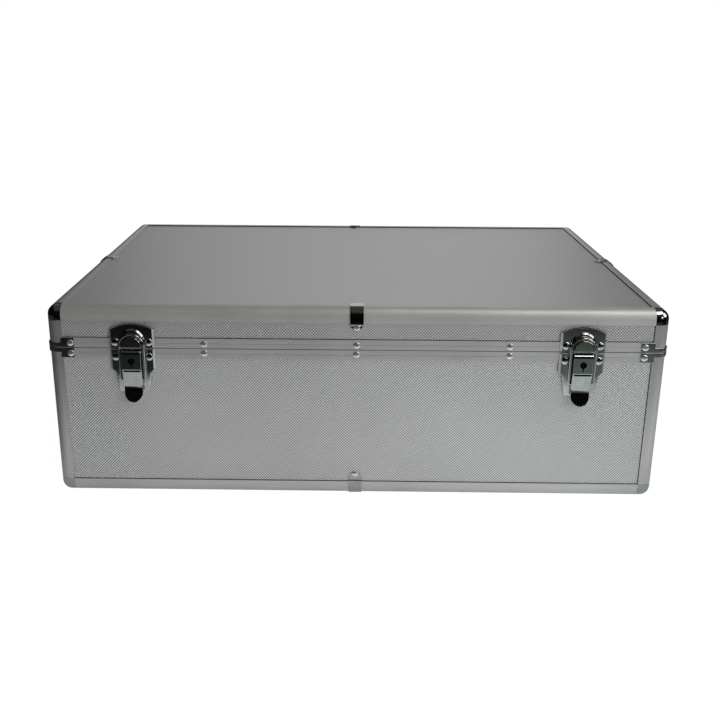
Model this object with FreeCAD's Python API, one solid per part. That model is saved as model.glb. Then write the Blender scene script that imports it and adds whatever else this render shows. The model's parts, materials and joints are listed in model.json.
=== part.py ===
import FreeCAD, Part
import math
import os

# Aluminium framed disc case. Millimetres, X to the right, Y to the back, Z up.
# The origin is the centre of the underside, and the latches are on the front, at low Y.

Vector = FreeCAD.Vector
os.makedirs("parts", exist_ok=True)

# Case body
case_width = 600.0
case_depth = 440.0
base_height = 154.5
lid_height = 41.5
parting_gap = 0.6

# Rounded edge profile, sheet and board thickness
edge_radius = 10.0
edge_leg = 14.5
metal_thickness = 1.2
board_thickness = 4.0

# Rim profiles along the parting line
rim_height = 9.7
rim_web = 1.5
groove_depth = 0.4
groove_width = 0.6
lip_height = 4.5
lip_gap = 0.5
lip_thickness = 1.2

# Clips in the middle of the edges
clip_width = 13.0
clip_thickness = 1.0
clip_leg = 22.0
base_clip_leg = 25.5
clip_step_gap = 0.3
clip_wrap_degrees = 60.0
clip_rivet_inset = 3.1
clip_end_steps = 6

# Corner brackets at the parting line
bracket_reach = 26.0
bracket_plate = 13.0
bracket_neck = 4.5
bracket_thickness = 1.2
bracket_rivet_inset = 3.6
bracket_rivet_rise = 5.2

# Rivets
rivet_head = 3.0
rivet_rise = 1.5
rivet_crown = 0.55
rivet_facets = 6
rim_rivet_spacing = 148.0
rim_rivet_rise = 4.65
side_rivet_spacing = 210.0

# Flats and steps of bent bars, small pins and small roundings
bar_facets = 10
grip_facets = 20
bend_steps = 3
arch_steps = 8
ear_steps = 8
web_steps = 5
tip_steps = 6
tip_end_steps = 12

# Latches
latch_inset = 82.5
plate_half_width = 21.75
plate_rise = 2.5
plate_skin = 1.2
plate_gap = 0.9
strike_shoulder = 19.8
strike_crown = 25.0
latch_straight = 20.5
latch_knee = 24.5
latch_drop = 44.7
latch_knee_half_width = 18.0
latch_foot_half_width = 14.4
latch_foot_rise = 0.2
latch_rivet_offset = 16.1
strike_rivet_height = 6.8
latch_rivet_depth = 8.0
latch_rivet_head = 3.6
latch_rivet_rise = 1.9

# Boss on the strike that the wire bail hooks round
boss_radius = 10.1
boss_foot = 2.5
boss_centre = 3.7
boss_rise = 8.6
boss_lip = 0.9
boss_lip_shift = 0.7
mound_radius = 12.4
mound_centre = 7.9
mound_rise = 1.8
mound_slope = 1.4

# Lever with its lock housing
pivot_out = 6.4
pivot_drop = 3.6
pivot_radius = 1.2
running_clearance = 0.08
lever_half_width = 9.4
lever_wall = 1.2
lever_plate_gap = 0.3
housing_drop = 19.3
lever_foot_gap = 1.5
lever_rear_gap = 0.6
web_arc = 100.0
ramp_start = 20.7
ramp_end = 37.5
ramp_start_out = 8.6
ramp_end_out = 5.8
ramp_lip = 0.6
tip_half_width = 8.9
tip_drop = 52.5
tip_out = 10.6
tip_sag = 1.3
tip_thickness = 1.5
tip_overrun = 1.05
keyhole_drop = 10.3
keyhole_radius = 3.3
key_slot_width = 1.6
key_slot_drop = 17.0
ear_thickness = 1.2
ear_gap = 0.25
ear_radius = 2.1
ear_root = 2.6
ear_foot = 4.0
ear_from = -70.0
ear_to = 216.0

# Lock cam behind the keyhole, and the catch that it turns behind
cam_radius = 4.2
cam_out = 4.5
cam_thickness = 2.0
cam_spindle = 1.4
cam_key_post = 1.2
cam_seat = 0.5
tongue_reach = 7.0
tongue_width = 2.5
bridge_out = 3.0
bridge_thickness = 1.2
bridge_half_height = 2.4
catch_half_width = 3.0
catch_metal = 1.2
catch_gap = 0.45
catch_lip = 2.3

# Wire bail
wire_radius = 1.3
bail_half_width = 11.7
bail_pivot_out = 4.6
bail_pivot_drop = 31.0
bail_arch_out = 6.3
bail_bend = 2.2

# Stop hinges on the back
hinge_inset = 150.0
hinge_width = 48.0
hinge_leaf = 19.0
hinge_thickness = 1.5
hinge_pin_radius = 1.6
knuckle_radius = 3.0
knuckle_gap = 0.25
hinge_face_gap = 0.3
hinge_rim_gap = 0.1
hinge_rivet_height = 14.6
hinge_rivet_spacing = 17.0
lid_opening_degrees = 95.0
stop_reach = 7.3
stop_thickness = 1.6
stop_clearance = 0.3

# Linings and dividers
lining_thickness = 2.1
divider_count = 3
divider_board = 3.0
divider_height = 118.0
divider_end_gap = 1.0
cap_metal = 0.8
cap_drop = 9.0
guide_metal = 1.0
guide_depth = 7.0
guide_height = 112.0
guide_lip = 5.0
slide_clearance = 0.2

# Side handles
handle_height = 112.0
handle_half_width = 60.0
handle_rod = 3.5
handle_drop = 34.0
handle_bend = 9.0
handle_out = 9.5
handle_plate_half_width = 72.0
handle_plate_top = 14.0
handle_plate_bottom = 46.0
handle_plate_corner = 8.0
handle_plate_rise = 1.0
lug_thickness = 4.0
lug_radius = 6.0
lug_gap = 0.4
grip_radius = 7.5
grip_end_gap = 1.5

# Values that follow from the sizes above
total_height = base_height + lid_height
lid_bottom = base_height + parting_gap / 2
base_top = base_height - parting_gap / 2
board_back = metal_thickness + board_thickness
wall_depth = board_back + metal_thickness
board_seat = edge_radius
lip_inner = wall_depth + lip_gap
lip_outer = lip_inner + lip_thickness
lining_depth = wall_depth + lining_thickness
pivot_height = base_height - pivot_drop
hinge_out = knuckle_radius + hinge_face_gap
latch_offset = case_width / 2 - latch_inset
hinge_offset = case_width / 2 - hinge_inset


class Side:
    """One upright side of the case, seen from outside."""

    def __init__(self, name, along, out, half, span):
        self.name = name
        self.along = along
        self.out = out
        self.half = half
        self.span = span

    def at(self, along, depth, height):
        """Point at a distance along the side, inward from its face, and above the ground."""
        return self.along * along + self.out * (self.half - depth) + Vector(0, 0, height)


front = Side("front", Vector(1, 0, 0), Vector(0, -1, 0), case_depth / 2, case_width)
back = Side("back", Vector(-1, 0, 0), Vector(0, 1, 0), case_depth / 2, case_width)
left = Side("left", Vector(0, -1, 0), Vector(-1, 0, 0), case_width / 2, case_depth)
right = Side("right", Vector(0, 1, 0), Vector(1, 0, 0), case_width / 2, case_depth)
sides = [front, back, left, right]


def save(name, shape):
    """Write one node."""
    shape.exportStep("parts/" + name + ".step")


def outline(start, steps, place):
    """Closed wire from a start point; a step is a corner, or a point on an arc and the arc's end."""
    edges = []
    here = place(*start)
    for step in steps + [(start,)]:
        there = place(*step[-1])
        if here.distanceToPoint(there) > 1e-6:
            if len(step) == 2:
                edges.append(Part.Arc(here, place(*step[0]), there).toShape())
            else:
                edges.append(Part.LineSegment(here, there).toShape())
        here = there
    return Part.Wire(edges)


def corners(*points):
    """Steps of straight lines through the points."""
    return [(point,) for point in points]


def prism(start, steps, place, push):
    """Solid made by pushing a closed outline along a vector."""
    return Part.Face(outline(start, steps, place)).extrude(push)


def side_profile(side, start, steps, from_along, length):
    """Solid whose outline lies in depth and height, pushed along the side."""
    return prism(start, steps, lambda depth, height: side.at(from_along, depth, height), side.along * length)


def side_pad(side, start, steps, from_depth, to_depth):
    """Solid whose outline lies along and up the side, between two depths."""
    def place(along, height):
        return side.at(along, from_depth, height)
    return prism(start, steps, place, side.out * (from_depth - to_depth))


def side_box(side, along_range, depth_range, height_range):
    """Straight block on a side."""
    near, far = along_range
    low, high = height_range
    steps = corners((far, low), (far, high), (near, high))
    return side_pad(side, (near, low), steps, depth_range[1], depth_range[0])


def rod(start, end, radius):
    """Straight round bar between two points."""
    axis = end - start
    return Part.makeCylinder(radius, axis.Length, start, axis)


def arc_points(centre, radius, from_degrees, to_degrees, steps):
    """Points along an arc in the plane of an outline."""
    turn = (to_degrees - from_degrees) / steps
    return [on_arc(centre, radius, from_degrees + turn * index) for index in range(steps + 1)]


def flat_face(points):
    """Flat face between corner points."""
    return Part.Face(Part.makePolygon(points + points[:1]))


def faceted(rings):
    """Solid with flat sides between rings of points, closed by its first and last ring."""
    faces = [flat_face(rings[0]), flat_face(rings[-1])]
    for low, high in zip(rings, rings[1:]):
        for index in range(len(low)):
            after = (index + 1) % len(low)
            faces.append(flat_face([low[index], low[after], high[after], high[index]]))
    shell = Part.makeShell(faces)
    shell.sewShape()
    solid = Part.makeSolid(shell)
    return solid if solid.Volume > 0 else solid.reversed()


def ring_of(middle, across, up, radius, facets):
    """Corner points of a regular ring round a middle, in the plane of two directions."""
    return [middle + across * u + up * w
            for u, w in (on_arc((0, 0), radius, 360 * index / facets) for index in range(facets))]


def pin(start, end, radius, facets=bar_facets):
    """Straight pin of many flats between two points at the same height; the radius is to its corners."""
    up = Vector(0, 0, 1)
    across = (end - start).cross(up).normalize()
    return faceted([ring_of(point, across, up, radius, facets) for point in (start, end)])


def bore(start, end, radius):
    """Hole of many flats that clears a pin of the given radius."""
    return pin(start, end, radius / math.cos(math.pi / bar_facets))


def fuse(shapes):
    """One clean solid from pieces that touch or overlap."""
    whole = shapes[0]
    for shape in shapes[1:]:
        whole = whole.fuse(shape)
    return whole.removeSplitter()


def group(shapes):
    """Several separate solids in one node."""
    return Part.makeCompound([solid for shape in shapes for solid in shape.Solids])


def on_arc(centre, radius, degrees):
    """Point on a circle in the plane of an outline."""
    angle = math.radians(degrees)
    return (centre[0] + radius * math.cos(angle), centre[1] + radius * math.sin(angle))


def on_both_ends(shape):
    """A shape and its mirror image across the middle of the width."""
    return [shape, shape.mirror(Vector(0, 0, 0), Vector(1, 0, 0))]


def at_four_corners(shape):
    """Copies of a shape made at the left front corner, at all four corners."""
    pair = on_both_ends(shape)
    return pair + [piece.mirror(Vector(0, 0, 0), Vector(0, 1, 0)) for piece in pair]


def as_lid(shape):
    """Mirror image of a base piece, so that it lies at the top of the case."""
    return shape.mirror(Vector(0, 0, total_height / 2), Vector(0, 0, 1))


class Rivet:
    """Head of a rivet, seated on a side; its shank is hidden in the wall."""

    def __init__(self, side, along, depth, height, head=rivet_head, rise=rivet_rise):
        self.side = side
        self.along = along
        self.depth = depth
        self.height = height
        self.head = head
        self.rise = rise

    def ring(self, radius, lift):
        """Faceted ring round the rivet's axis, lifted off its seat."""
        middle = self.side.at(self.along, self.depth - lift, self.height)
        return ring_of(middle, self.side.along, Vector(0, 0, 1), radius, rivet_facets)

    def solid(self):
        return faceted([self.ring(self.head, 0), self.ring(self.head * rivet_crown, self.rise)])


# Edge profiles, posts and corner caps


def edge_section(place):
    """Section of the rounded edge profile: outer skin, two slots for the boards, and a hollow corner."""
    seat = board_seat
    inner = edge_radius - metal_thickness
    bend = (edge_radius, edge_radius)
    outer = outline((edge_leg, 0), [((edge_radius, 0),), (on_arc(bend, edge_radius, 225), (0, edge_radius))]
                    + corners((0, edge_leg), (metal_thickness, edge_leg), (metal_thickness, seat),
                              (board_back, seat), (board_back, edge_leg), (wall_depth, edge_leg),
                              (wall_depth, wall_depth), (edge_leg, wall_depth), (edge_leg, board_back),
                              (seat, board_back),
                              (seat, metal_thickness), (edge_leg, metal_thickness)), place)
    web = seat - metal_thickness
    curve = edge_radius - math.sqrt(inner ** 2 - (edge_radius - web) ** 2)
    hollow = outline((web, curve), corners((curve, web), (board_back, web), (board_back, board_back),
                                           (web, board_back)), place)
    return Part.Face(outer).cut(Part.Face(hollow)).Faces[0]


def edge_bar(side):
    """Edge profile along the bottom of one side, between the corner caps."""
    length = side.span - 2 * edge_leg
    section = edge_section(lambda depth, height: side.at(-length / 2, depth, height))
    return section.extrude(side.along * length)


def corner_post(low, high):
    """Upright edge profile at the left front corner."""
    section = edge_section(lambda u, w: Vector(-case_width / 2 + u, -case_depth / 2 + w, low))
    return section.extrude(Vector(0, 0, high - low))


def corner_cap():
    """Chrome cap at the left front bottom corner: a rounded block, cut out for the boards and the lining."""
    block = Part.makeBox(edge_leg, edge_leg, edge_leg)
    def on_corner(edge):
        box = edge.BoundBox
        return [high < 1e-6 for high in (box.XMax, box.YMax, box.ZMax)].count(True) == 2
    cap = block.makeFillet(edge_radius, [edge for edge in block.Edges if on_corner(edge)])
    inside = edge_leg - wall_depth
    cap = cap.cut(Part.makeBox(inside, inside, inside, Vector(wall_depth, wall_depth, wall_depth)))
    axes = [Vector(1, 0, 0), Vector(0, 1, 0), Vector(0, 0, 1)]
    for axis in axes:
        start = Vector(board_seat, board_seat, board_seat) - axis * (board_seat - metal_thickness)
        size = Vector(edge_leg, edge_leg, edge_leg) - start
        cap = cap.cut(Part.makeBox(size.x, size.y, size.z, start))
    cap.translate(Vector(-case_width / 2, -case_depth / 2, 0))
    return cap


# Boards


def flat_board():
    """Board under the case, held in the slots of the bottom edge profiles."""
    size_x = case_width - 2 * board_seat
    size_y = case_depth - 2 * board_seat
    return Part.makeBox(size_x, size_y, board_thickness, Vector(-size_x / 2, -size_y / 2, metal_thickness))


def side_board(side, low, high):
    """Upright board between two posts."""
    reach = side.span / 2 - board_seat
    return side_box(side, (-reach, reach), (metal_thickness, board_back), (low, high))


# Rims


def base_rim(side):
    """Rim profile along the top of the base: it holds the board's edge and carries the locating lip."""
    low = base_top - rim_height
    web = base_top - rim_web
    middle = base_top - rim_height / 2
    reach = side.span / 2 - edge_leg
    steps = corners((0, middle - groove_width / 2), (groove_depth, middle - groove_width / 2),
                    (groove_depth, middle + groove_width / 2), (0, middle + groove_width / 2),
                    (0, base_top), (lip_inner, base_top), (lip_inner, base_top + lip_height),
                    (lip_outer, base_top + lip_height), (lip_outer, web), (wall_depth, web),
                    (wall_depth, low), (board_back, low), (board_back, web), (metal_thickness, web),
                    (metal_thickness, low))
    return side_profile(side, (0, low), steps, -reach, 2 * reach)


def lid_rim(side):
    """Rim profile along the bottom of the lid."""
    high = lid_bottom + rim_height
    web = lid_bottom + rim_web
    middle = lid_bottom + rim_height / 2
    reach = side.span / 2 - edge_leg
    steps = corners((0, middle + groove_width / 2), (groove_depth, middle + groove_width / 2),
                    (groove_depth, middle - groove_width / 2), (0, middle - groove_width / 2),
                    (0, lid_bottom), (wall_depth, lid_bottom), (wall_depth, high),
                    (board_back, high), (board_back, web), (metal_thickness, web), (metal_thickness, high))
    return side_profile(side, (0, high), steps, -reach, 2 * reach)


# Clips and brackets


def clip_end(side, height):
    """Rounded end of a clip on the board of a side."""
    round_end = half_round((0, height), clip_width / 2)
    return side_pad(side, round_end[0], corners(*round_end[1:]), metal_thickness,
                    metal_thickness - clip_thickness)


def half_round(centre, radius):
    """Points of the rounded end of a strap, drawn as short straight steps."""
    return arc_points(centre, radius, 0, 180, clip_end_steps)


def clip_section(reach, end):
    """Outline of a clip in depth and height, up from where it steps off the edge profile."""
    step = edge_leg + clip_step_gap
    face = metal_thickness - clip_thickness
    return corners((face, reach), (face, step + clip_thickness), (-clip_thickness, step + clip_thickness),
                   (-clip_thickness, edge_radius)) + end


def base_clip(side):
    """Clip round the middle of a bottom edge; it ends on the rounding, clear of the ground."""
    bend = (edge_radius, edge_radius)
    turn = 180 + clip_wrap_degrees
    reach = base_clip_leg - clip_width / 2
    step = edge_leg + clip_step_gap
    outer = edge_radius + clip_thickness
    end = [(on_arc(bend, outer, 180 + clip_wrap_degrees / 2), on_arc(bend, outer, turn)),
           (on_arc(bend, edge_radius, turn),),
           (on_arc(bend, edge_radius, 180 + clip_wrap_degrees / 2), (0, edge_radius))]
    steps = clip_section(reach, end) + corners((0, step), (metal_thickness, step))
    strap = side_profile(side, (metal_thickness, reach), steps, -clip_width / 2, clip_width)
    return fuse([strap, clip_end(side, reach)])


def lid_clip(side):
    """Clip round the middle of a top edge, with a rounded end on the top and one on the side."""
    bend = (edge_radius, edge_radius)
    reach = clip_leg - clip_width / 2
    step = edge_leg + clip_step_gap
    face = metal_thickness - clip_thickness
    outer = edge_radius + clip_thickness
    end = [(on_arc(bend, outer, 225), (edge_radius, -clip_thickness)),
           ((step + clip_thickness, -clip_thickness),), ((step + clip_thickness, face),), ((reach, face),),
           ((reach, metal_thickness),), ((step, metal_thickness),), ((step, 0),), ((edge_radius, 0),),
           (on_arc(bend, edge_radius, 225), (0, edge_radius))]
    steps = clip_section(reach, end) + corners((0, step), (metal_thickness, step))
    strap = side_profile(side, (metal_thickness, reach), steps, -clip_width / 2, clip_width)
    round_end = half_round((0, reach), clip_width / 2)
    top_end = prism(round_end[0], corners(*round_end[1:]),
                    lambda along, depth: side.at(along, depth, metal_thickness),
                    Vector(0, 0, -clip_thickness))
    return as_lid(fuse([strap, clip_end(side, reach), top_end]))


def corner_bracket(low, high, neck_low):
    """Bracket round the left front corner: a narrow neck round the post and a plate on each rim."""
    bend = (edge_radius, edge_radius)
    outer = edge_radius + bracket_thickness

    def place_at(height):
        return lambda u, w: Vector(-case_width / 2 + u, -case_depth / 2 + w, height)
    band = [((edge_radius, -bracket_thickness),),
            (on_arc(bend, outer, 225), (-bracket_thickness, edge_radius)),
            ((-bracket_thickness, bracket_reach),), ((0, bracket_reach),), ((0, edge_radius),),
            (on_arc(bend, edge_radius, 225), (edge_radius, 0)), ((bracket_reach, 0),)]
    neck = prism((bracket_reach, -bracket_thickness), band, place_at(neck_low), Vector(0, 0, bracket_neck))
    near = bracket_reach - bracket_plate
    tall = Vector(0, 0, high - low)
    plates = [prism((near, 0), corners((bracket_reach, 0), (bracket_reach, -bracket_thickness),
                                       (near, -bracket_thickness)), place_at(low), tall),
              prism((0, near), corners((0, bracket_reach), (-bracket_thickness, bracket_reach),
                                       (-bracket_thickness, near)), place_at(low), tall)]
    return fuse([neck] + plates)


# Latch plates and strikes, made at the middle of the front and moved to their places


def front_pad(start, steps, back_out, front_out):
    """Pad on the front whose outline is measured across and up from the parting line."""
    def place(along, rise):
        return front.at(along, -back_out, base_height + rise)
    return prism(start, steps, place, front.out * (front_out - back_out))


def front_profile(start, steps, half_width):
    """Solid whose outline is measured outward and up from the parting line, across the middle."""
    def place(out, rise):
        return front.at(-half_width, -out, base_height + rise)
    return prism(start, steps, place, Vector(2 * half_width, 0, 0))


def arch(half_width, centre, foot, shift=0.0):
    """Start and steps of a shape with straight sides, a flat foot and a half round top."""
    return (-half_width, foot), [((half_width, foot),), ((half_width, centre + shift),),
                                 ((0, centre + shift + half_width), (-half_width, centre + shift))]


def strike_outline(inset):
    """Start and steps of the arched strike plate, drawn in from its edge."""
    half = plate_half_width - inset
    low = plate_gap + inset
    return (-half, low), [((half, low),), ((half, strike_shoulder - inset),),
                          ((0, strike_crown - inset), (-half, strike_shoulder - inset))]


def latch_outline(inset):
    """Start and steps of the latch plate, drawn in from its edge."""
    half = plate_half_width - inset
    knee = latch_knee_half_width - inset
    foot = latch_foot_half_width - inset
    return (-half, -plate_gap - inset), corners(
        (half, -plate_gap - inset), (half, -latch_straight), (knee, -latch_knee), (foot, -latch_drop + inset),
        (-foot, -latch_drop + inset), (-knee, -latch_knee), (-half, -latch_straight))


def strike():
    """Strike plate: a hollow cover on the lid with an arched mound and the boss for the bail."""
    cover = front_pad(*strike_outline(0), -metal_thickness, plate_rise)
    hollow = front_pad(*strike_outline(plate_skin), -metal_thickness, plate_rise - plate_skin)
    across = (-case_width / 2, case_width / 2)
    rim_room = side_box(front, across, (0, wall_depth), (0, lid_bottom + rim_height))
    cover = cover.cut([hollow, rim_room])

    def mound_wire(out, inset):
        start, steps = arch(mound_radius - inset, mound_centre, plate_gap)
        return outline(start, steps, lambda along, rise: front.at(along, -out, base_height + rise))
    mound = Part.makeLoft([mound_wire(plate_rise, 0), mound_wire(plate_rise + mound_rise, mound_slope)],
                          True, True)
    boss = front_pad(*arch(boss_radius, boss_centre, boss_foot), plate_rise, boss_rise)
    lip_shape = arch(boss_radius, boss_centre, boss_foot, boss_lip_shift)
    lip = front_pad(*lip_shape, boss_rise, boss_rise + boss_lip)
    return fuse([cover, mound, boss, lip])


def catch():
    """Hook on the latch plate that the lock tongue turns behind."""
    lip_out = cam_out + cam_thickness + catch_gap
    stem = keyhole_drop + tongue_reach + catch_gap
    steps = corners((lip_out + catch_metal, -stem - catch_metal), (lip_out + catch_metal, -stem + catch_lip),
                    (lip_out, -stem + catch_lip), (lip_out, -stem), (plate_rise, -stem))
    return front_profile((plate_rise, -stem - catch_metal), steps, catch_half_width)


def latch_plate():
    """Latch plate on the base, with the catch of the lock and two ears that the lever's pin is riveted in."""
    fall = latch_drop - latch_straight
    thin = plate_rise - latch_foot_rise
    bend_radius = (fall ** 2 + thin ** 2) / (2 * thin)
    centre = (plate_rise - bend_radius, -latch_straight)
    foot_turn = -math.degrees(math.asin(fall / bend_radius))
    section = corners((-metal_thickness, -plate_gap), (plate_rise, -plate_gap), (plate_rise, -latch_straight))
    section.append((on_arc(centre, bend_radius, foot_turn / 2), (latch_foot_rise, -latch_drop)))
    cover = front_profile((-metal_thickness, -latch_drop), section, plate_half_width)
    cover = cover.common(front_pad(*latch_outline(0), -metal_thickness, plate_rise))
    inner = corners((-metal_thickness, 0), (plate_rise - plate_skin, 0),
                    (plate_rise - plate_skin, -latch_straight), (-metal_thickness, -latch_drop + plate_skin))
    hollow = front_profile((-metal_thickness, -latch_drop + plate_skin), inner, plate_half_width)
    hollow = hollow.common(front_pad(*latch_outline(plate_skin), -metal_thickness, plate_rise))
    rim_room = side_box(front, (-case_width / 2, case_width / 2), (0, wall_depth),
                        (base_top - rim_height, total_height))
    cover = cover.cut([hollow, rim_room])
    pieces = [cover, catch()]
    pivot = (pivot_out, -pivot_drop)
    outer = lever_half_width - lever_wall - ear_gap
    for sign in (-1, 1):
        near = min(sign * outer, sign * (outer - ear_thickness))
        hook = arc_points(pivot, ear_radius, ear_from, ear_to, ear_steps)
        ear = prism((plate_rise, -pivot_drop - ear_foot),
                    corners(*hook, (plate_rise, -pivot_drop - ear_root)),
                    lambda out, rise: front.at(near, -out, base_height + rise), Vector(ear_thickness, 0, 0))
        pieces.append(ear)
    half = Vector(lever_half_width, 0, 0)
    return fuse(pieces + [pin(front.at(0, -pivot_out, pivot_height) - half,
                              front.at(0, -pivot_out, pivot_height) + half, pivot_radius)])


# Lever, lock cam and bail


def lever():
    """Lever: side walls, lock housing with a rounded top, a ramp and the flared finger tip."""
    pivot = (pivot_out, -pivot_drop)
    top = pivot_drop
    face = pivot_out + top
    rear = plate_rise + lever_plate_gap
    skin = lever_wall
    wall_foot = ramp_end - lever_foot_gap
    crown = on_arc(pivot, top, web_arc)
    rounding = [(on_arc(pivot, top, web_arc / 2), (face, -pivot_drop))]
    wall = [(on_arc(pivot, top, (180 + web_arc) / 2), crown)] + rounding
    wall += corners((face, -housing_drop), (ramp_start_out + ramp_lip, -ramp_start),
                    (ramp_end_out + ramp_lip, -wall_foot), (rear + lever_rear_gap, -wall_foot))
    pieces = []
    inner = lever_half_width - skin
    for near in (-lever_half_width, inner):
        pieces.append(prism((pivot_out - top, -pivot_drop), wall,
                            lambda out, rise: front.at(near, -out, base_height + rise), Vector(skin, 0, 0)))
    inner_top = arc_points(pivot, top - skin, 0, web_arc, web_steps)
    web = rounding + corners((face, -housing_drop), (ramp_start_out, -ramp_start),
                             (ramp_end_out, -ramp_end), (ramp_end_out - skin, -ramp_end),
                             (ramp_start_out - skin, -ramp_start + skin),
                             (face - skin, -housing_drop), *inner_top)
    pieces.append(front_profile(crown, web, inner))
    pieces.append(lever_tip())
    bridge_low = -keyhole_drop - bridge_half_height
    pieces.append(front_profile((bridge_out, bridge_low),
                                corners((bridge_out + bridge_thickness, bridge_low),
                                        (bridge_out + bridge_thickness, -keyhole_drop + bridge_half_height),
                                        (bridge_out, -keyhole_drop + bridge_half_height)), inner))
    body = fuse(pieces)
    key_centre = front.at(0, 0, base_height - keyhole_drop)
    hole_start = key_centre + front.out * (face - 2 * skin)
    keyhole = rod(hole_start, key_centre + front.out * (face + skin), keyhole_radius)
    slot = front_pad((-key_slot_width / 2, -key_slot_drop),
                     corners((key_slot_width / 2, -key_slot_drop), (key_slot_width / 2, -keyhole_drop),
                             (-key_slot_width / 2, -keyhole_drop)), face - 2 * skin, face + skin)
    spindle = bore(key_centre, key_centre + front.out * cam_out, cam_spindle + running_clearance)
    half = Vector(lever_half_width + skin, 0, 0)
    bail_pivot = front.at(0, -bail_pivot_out, base_height - bail_pivot_drop)
    bail_hole = rod(bail_pivot - half, bail_pivot + half, wire_radius + running_clearance)
    pivot_point = front.at(0, -pivot_out, pivot_height)
    pivot_hole = bore(pivot_point - half, pivot_point + half, pivot_radius + running_clearance)
    rear_room = side_box(front, (-case_width / 2, case_width / 2), (-rear, case_depth / 2), (0, total_height))
    return body.cut([keyhole, slot, spindle, bail_hole, pivot_hole, rear_room])


def lever_tip():
    """Finger tip of the lever: a sheet that curves outward, round ended in front view."""
    def sheet(inset):
        points = []
        for share in [index / tip_steps for index in range(tip_steps + 1)] + [tip_overrun]:
            sag = 4 * tip_sag * share * (1 - share)
            points.append((ramp_end_out + (tip_out - ramp_end_out) * share - sag - inset,
                           -ramp_end - (tip_drop - ramp_end) * share))
        return points
    outer = sheet(0)
    curved = front_profile(outer[0], corners(*outer[1:], *reversed(sheet(tip_thickness))), tip_half_width)
    end = arc_points((0, tip_half_width - tip_drop), tip_half_width, 180, 360, tip_end_steps)
    mask = front_pad((-tip_half_width, 0), corners(*end, (tip_half_width, 0)), 0, 2 * tip_out)
    return curved.common(mask)


def lock_cam():
    """Cam behind the keyhole, on a spindle in the lever's bridge, with its tongue at the side."""
    centre = front.at(0, 0, base_height - keyhole_drop)
    disc = pin(centre + front.out * cam_out, centre + front.out * (cam_out + cam_thickness), cam_radius)
    spindle = pin(centre + front.out * bridge_out, centre + front.out * (cam_out + cam_seat), cam_spindle)
    post_end = pivot_out + pivot_drop - lever_wall
    post = pin(centre + front.out * cam_out, centre + front.out * post_end, cam_key_post)
    low = -keyhole_drop - tongue_width / 2
    high = -keyhole_drop + tongue_width / 2
    tongue = front_pad((0, low), corners((tongue_reach, low), (tongue_reach, high), (0, high)),
                       cam_out, cam_out + cam_thickness)
    return fuse([disc, spindle, post, tongue])


def bail():
    """Wire loop hooked round the boss, its two ends turned in through the lever's walls."""
    foot = Vector(0, -case_depth / 2 - bail_pivot_out, base_height - bail_pivot_drop)
    crown = Vector(0, -case_depth / 2 - bail_arch_out, base_height + boss_centre)
    rise = (crown - foot).normalize()
    length = (crown - foot).Length
    across = Vector(1, 0, 0)
    half = bail_half_width
    inner = lever_half_width - lever_wall - ear_gap

    def place(u, s):
        return foot + across * u + rise * s
    path = [place(-inner, 0)] + bend((-half + bail_bend, bail_bend), bail_bend, 270, 180, bend_steps, place)
    path += bend((0, length), half, 180, 0, arch_steps, place)
    path += bend((half - bail_bend, bail_bend), bail_bend, 0, -90, bend_steps, place) + [place(inner, 0)]
    return bar(path, across.cross(rise), wire_radius)


def bend(centre, radius, from_degrees, to_degrees, steps, place):
    """Points along a bend of a bar, in the plane that it lies in."""
    return [place(*point) for point in arc_points(centre, radius, from_degrees, to_degrees, steps)]


def bar(path, normal, radius):
    """Bent bar of many flats along points in the plane that has the given normal."""
    rings = []
    for index, point in enumerate(path):
        before = (point - path[max(index - 1, 0)])
        after = (path[min(index + 1, len(path) - 1)] - point)
        legs = [leg.normalize() for leg in (before, after) if leg.Length > 1e-6]
        ahead = sum(legs[1:], legs[0]).normalize()
        mitre = normal.cross(ahead) / ahead.dot(legs[0])
        rings.append(ring_of(point, mitre, normal, radius, bar_facets))
    return faceted(rings)


# Hinges


def hinge_axis_point(along):
    """Point on the hinge axis, outside the back at the parting line."""
    return back.at(along, -hinge_out, base_height)


def knuckle_ranges(upper):
    """Where the knuckles of a leaf lie along the hinge: the lid has the middle one."""
    half = hinge_width / 2
    third = hinge_width / 6
    if upper:
        return [(-third + knuckle_gap / 2, third - knuckle_gap / 2)]
    return [(-half, -third - knuckle_gap / 2), (third + knuckle_gap / 2, half)]


def hinge_leaf_shape(upper):
    """Hinge leaf at the middle of the back: the lid's has the stop, the base's has the fixed pin."""
    sign = 1 if upper else -1
    low = knuckle_radius + hinge_face_gap
    rim_edge = rim_height + parting_gap / 2
    half = hinge_width / 2

    def block(along_range, outs, rises):
        heights = sorted(base_height + sign * rise for rise in rises)
        return side_box(back, along_range, (-outs[1], -outs[0]), heights)
    pieces = [block((-half, half), (0, hinge_thickness), (low, hinge_leaf)),
              block((-half, half), (-metal_thickness, hinge_thickness),
                    (rim_edge + hinge_rim_gap, hinge_leaf))]
    for near, far in knuckle_ranges(upper):
        pieces.append(block((near, far), (0, hinge_thickness), (parting_gap / 2, low)))
        pieces.append(block((near, far), (hinge_face_gap, hinge_out), (parting_gap / 2, knuckle_radius)))
        pieces.append(rod(hinge_axis_point(near), hinge_axis_point(far), knuckle_radius))
    ends = (hinge_axis_point(-half), hinge_axis_point(half))
    if upper:
        pieces.append(hinge_stop())
        return fuse(pieces).cut(bore(*ends, hinge_pin_radius + running_clearance))
    return fuse(pieces + [pin(*ends, hinge_pin_radius)])


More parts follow.
